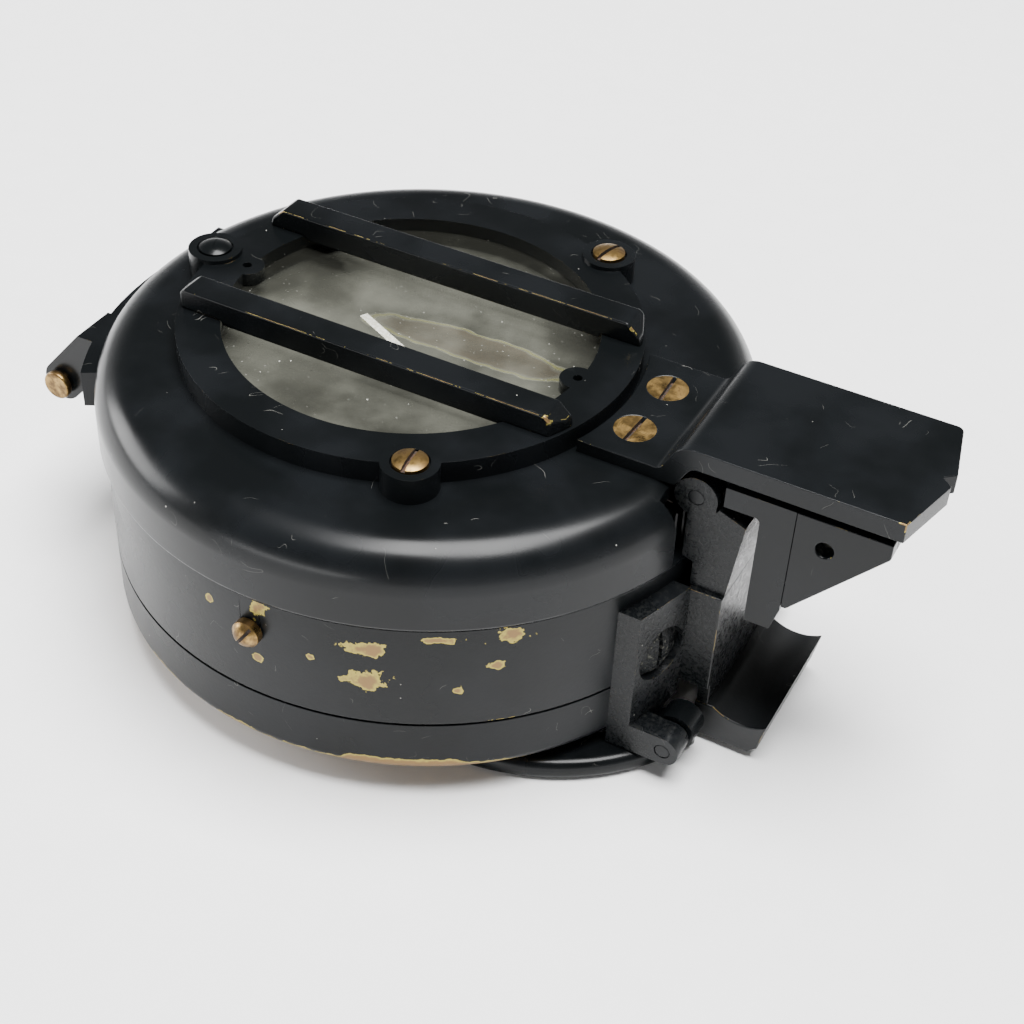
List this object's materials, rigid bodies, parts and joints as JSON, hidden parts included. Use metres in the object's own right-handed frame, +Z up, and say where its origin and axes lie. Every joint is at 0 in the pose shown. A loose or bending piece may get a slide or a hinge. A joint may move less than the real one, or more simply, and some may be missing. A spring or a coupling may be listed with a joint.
{
  "type": "sighting compass",
  "caption": "Round black enamelled brass sighting compass: glazed hinged lid with guard bars, folding prism on a focusing slide, turning bezel, liquid dial and thumb ring.",
  "frame": {"origin": "centre of the base cap's underside, on the case axis", "axes": "+Z up along the case axis through the lid, +X from the lid's hinge towards the prism and the lid's tongue"},
  "size_m": [0.0888, 0.0648, 0.0336],
  "materials": {
    "black_enamel": "satin stove enamel over brass",
    "bare_brass": "aged, unlacquered",
    "white_enamel": "satin",
    "nickel_silver": "fine brushed",
    "magnet_steel": "ground",
    "clear_glass": "polished",
    "sapphire": "polished",
    "mother_of_pearl": "pearly, polished",
    "gasket_rubber": "matt"
  },
  "bodies": {
    "case": {"base_cap": "black_enamel", "capsule_cup": "black_enamel", "capsule_gasket": "gasket_rubber", "capsule_glass": "clear_glass", "capsule_retaining_ring": "black_enamel", "case_body": "black_enamel", "case_hinge_plate": "black_enamel", "expansion_bellows": "bare_brass", "guide_bracket_far": "black_enamel", "guide_bracket_near": "black_enamel", "guide_bracket_screws": "black_enamel", "hinge_plate_screws": "black_enamel", "lubber_mark": "white_enamel", "pivot_post": "nickel_silver", "ring_pivot_pins": "black_enamel", "slide_rail": "bare_brass"},
    "bezel": {"bezel_ring": "black_enamel", "bezel_glass": "clear_glass", "bezel_snap_ring": "black_enamel"},
    "clamp_screw": {"bezel_clamp_screw": "bare_brass"},
    "compass_card": {"pearl_dial": "mother_of_pearl", "dial_hub": "bare_brass", "jewel_cup": "sapphire", "card_magnets": "magnet_steel"},
    "lid": {"lid_shell": "black_enamel", "lid_glass": "clear_glass", "window_frame": "black_enamel", "window_frame_screws": "bare_brass", "guard_bar_near": "black_enamel", "guard_bar_far": "black_enamel", "tongue": "black_enamel", "tongue_screws": "bare_brass", "lid_hinge_strap": "black_enamel", "lid_hinge_pin": "bare_brass"},
    "focus_slide": {"slide_block": "black_enamel", "hinge_ear": "black_enamel", "thumb_piece": "black_enamel", "prism_hinge_pin": "black_enamel"},
    "prism": {"prism_frame": "black_enamel", "prism_cheek_near": "black_enamel", "prism_cheek_far": "black_enamel", "prism_cover": "black_enamel", "prism_glass": "clear_glass", "eye_lens": "clear_glass", "eye_lens_ring": "bare_brass"},
    "thumb_ring": {"thumb_ring": "black_enamel"}
  },
  "joints": [
    {"name": "lid_open", "type": "hinge", "parent": "case", "child": "lid", "pos_m": [-0.0357, 0, 0.0153], "axis": [0, -1, 0], "range_deg": [0, 180]},
    {"name": "prism_focus", "type": "slide", "parent": "case", "child": "focus_slide", "axis": [0, 0, 1], "range_m": [0, 0.004]},
    {"name": "prism_swing", "type": "hinge", "parent": "focus_slide", "child": "prism", "pos_m": [0.031, 0, 0.0251], "axis": [0, -1, 0], "range_deg": [0, 180]},
    {"name": "ring_swing", "type": "hinge", "parent": "case", "child": "thumb_ring", "pos_m": [0.0334, 0, 0.00055], "axis": [0, -1, 0], "range_deg": [0, 180]},
    {"name": "bezel_turn", "type": "hinge", "parent": "case", "child": "bezel", "pos_m": [0, 0, 0.02], "axis": [0, 0, 1], "continuous": true},
    {"name": "card_turn", "type": "hinge", "parent": "case", "child": "compass_card", "pos_m": [0, 0, 0.0152], "axis": [0, 0, 1], "continuous": true},
    {"name": "clamp_turn", "type": "hinge", "parent": "case", "child": "clamp_screw", "pos_m": [0, -0.0312, 0.0138], "axis": [0, -1, 0], "range_deg": [0, 180]}
  ],
  "couplings": [
    {"joint": "prism_swing", "follows": "lid_open", "ratio": 1},
    {"joint": "prism_focus", "follows": "lid_open", "m_per_rad": 0.00127}
  ]
}
